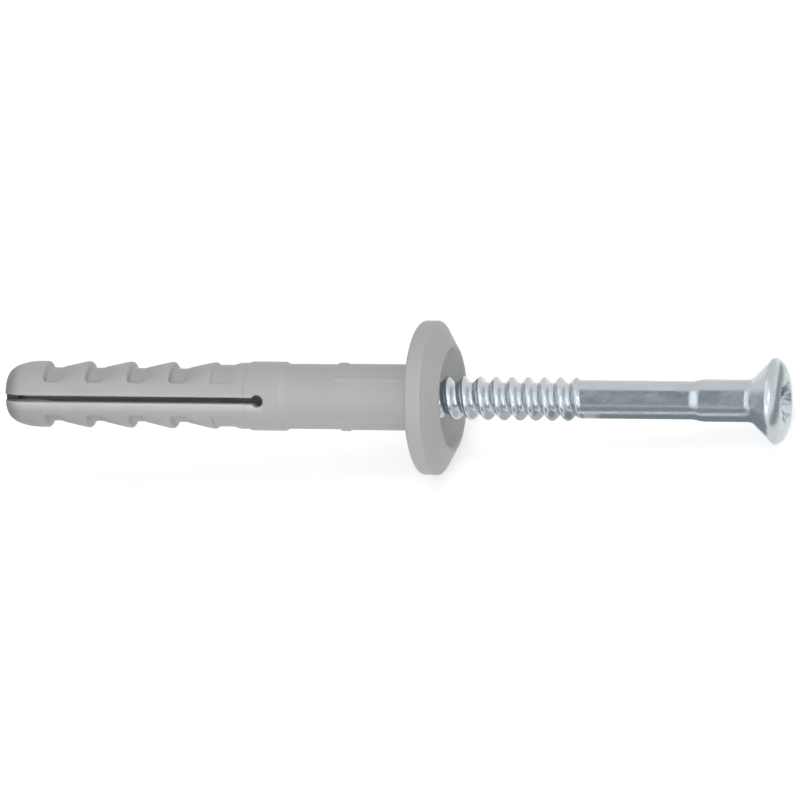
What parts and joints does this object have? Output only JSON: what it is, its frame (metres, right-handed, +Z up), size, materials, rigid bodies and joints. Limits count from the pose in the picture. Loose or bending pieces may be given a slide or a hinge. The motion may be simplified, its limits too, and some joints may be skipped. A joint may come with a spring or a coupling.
{
  "type": "nail anchor",
  "caption": "Split plastic wall plug with toothed sides and a wide dished collar, with a threaded steel nail with countersunk cross-recess head partly pushed in.",
  "frame": {"origin": "middle of the box on the surface that the anchor lies on: it rests on the rim of its collar and the edge of the nail's head", "axes": "+X from the sleeve's nose towards the nail's head, the anchor's axis sloping 5.5 degrees down to the head; +Z up"},
  "size_m": [0.073, 0.014, 0.014],
  "materials": {
    "nylon": "moulded light grey nylon, satin",
    "zinc_steel": "bright zinc-plated steel"
  },
  "bodies": {
    "sleeve": {"sleeve": "nylon"},
    "nail": {"nail": "zinc_steel"}
  },
  "joints": [
    {"name": "nail_drive", "type": "slide", "parent": "sleeve", "child": "nail", "axis": [-0.9954, 0, 0.0963], "range_m": [0, 0.03087]}
  ]
}
